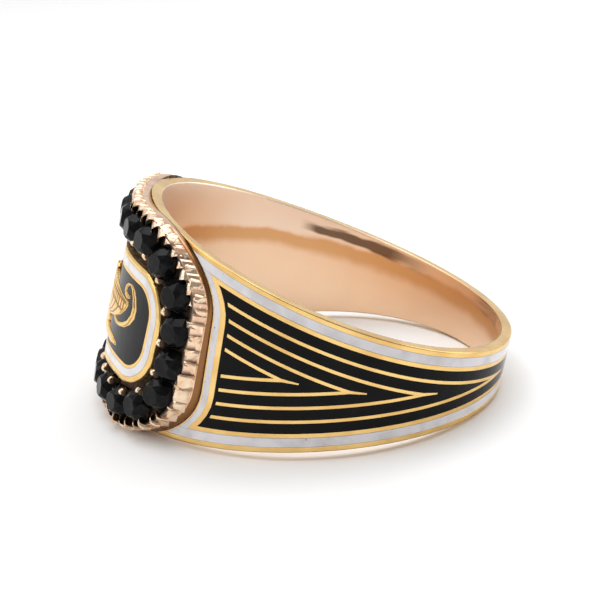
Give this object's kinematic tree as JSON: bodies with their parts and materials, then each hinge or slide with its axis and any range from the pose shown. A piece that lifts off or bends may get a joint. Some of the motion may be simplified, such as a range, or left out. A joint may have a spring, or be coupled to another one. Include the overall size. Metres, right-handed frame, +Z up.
{
  "type": "mourning ring",
  "caption": "Mourning ring: a tapering enamelled gold hoop with a wide curved bezel of faceted black stones round an enamelled plaque with a raised urn.",
  "frame": {"origin": "on the ground, under the middle of the box of the ring as it rests on its side", "axes": "+Z up from the ground, -Y towards the face of the bezel, +X across the hoop; the finger axis leans from +Z towards +Y by the resting tilt"},
  "size_m": [0.0186, 0.021, 0.0105],
  "materials": {
    "yellow_gold": "polished, worn",
    "rose_gold": "polished, dirt in the flutes",
    "white_enamel": "glossy, opaque, with specks",
    "black_enamel": "glossy, opaque",
    "black_stone": "faceted, glossy, opaque"
  },
  "bodies": {
    "root": {"hoop": "yellow_gold", "hoop_white_enamel": "white_enamel", "hoop_black_enamel": "black_enamel", "setting": "rose_gold", "plaque": "yellow_gold", "plaque_white_enamel": "white_enamel", "plaque_black_enamel": "black_enamel", "stone_01": "black_stone", "stone_02": "black_stone", "stone_03": "black_stone", "stone_04": "black_stone", "stone_05": "black_stone", "stone_06": "black_stone", "stone_07": "black_stone", "stone_08": "black_stone", "stone_09": "black_stone", "stone_10": "black_stone", "stone_11": "black_stone", "stone_12": "black_stone", "stone_13": "black_stone", "stone_14": "black_stone", "stone_15": "black_stone", "stone_16": "black_stone", "stone_17": "black_stone", "stone_18": "black_stone", "stone_19": "black_stone", "stone_20": "black_stone", "stone_21": "black_stone", "stone_22": "black_stone", "stone_23": "black_stone", "stone_24": "black_stone"}
  },
  "joints": []
}
